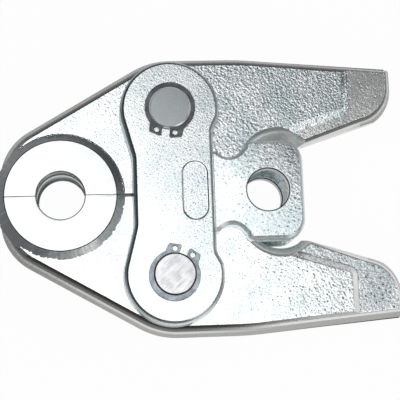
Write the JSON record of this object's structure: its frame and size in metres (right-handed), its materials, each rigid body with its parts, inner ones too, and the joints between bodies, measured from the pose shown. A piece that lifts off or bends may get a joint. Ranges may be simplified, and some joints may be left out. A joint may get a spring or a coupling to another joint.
{
  "type": "press fitting tool jaw",
  "caption": "Press jaw for pipe fittings: two forged levers with a grooved die bore between them, pivoting on pins between side plates that end in a tab with a hanger bore.",
  "frame": {"origin": "Middle of the bounding box in X and Y, at the height of the lowest point, the ends of the pivot pins below.", "axes": "+X from the die towards the tails, +Y across the jaw towards the upper lever of the picture, +Z along the pivot pins towards the side that the picture shows."},
  "size_m": [0.1358, 0.096, 0.0313],
  "materials": {
    "forging_finish": "bright zinc-plated, shot-blasted forging",
    "plate_finish": "bright zinc-plated, shot-blasted forging",
    "pin_finish": "ground, ends as turned",
    "ring_finish": "dark phosphated spring steel",
    "spring_finish": "bright drawn wire"
  },
  "bodies": {
    "side_plates": {"front_side_plate": "plate_finish", "rear_side_plate": "plate_finish", "upper_pivot_pin": "pin_finish", "lower_pivot_pin": "pin_finish", "upper_front_ring": "ring_finish", "lower_front_ring": "ring_finish", "upper_rear_ring": "ring_finish", "lower_rear_ring": "ring_finish", "return_spring": "spring_finish"},
    "upper_jaw": {"upper_jaw_lever": "forging_finish"},
    "lower_jaw": {"lower_jaw_lever": "forging_finish"}
  },
  "joints": [
    {"name": "upper_jaw_opening", "type": "hinge", "parent": "side_plates", "child": "upper_jaw", "pos_m": [-0.01035, 0.0279, 0.01565], "axis": [0, 0, -1], "range_deg": [0, 12], "stiffness_Nm_per_rad": 1.2, "springref_deg": -14.32, "deforming": ["return_spring"]},
    {"name": "lower_jaw_opening", "type": "hinge", "parent": "side_plates", "child": "lower_jaw", "pos_m": [-0.01035, -0.0279, 0.01565], "axis": [0, 0, 1], "range_deg": [0, 12], "stiffness_Nm_per_rad": 1.2, "springref_deg": -14.32, "deforming": ["return_spring"]}
  ]
}
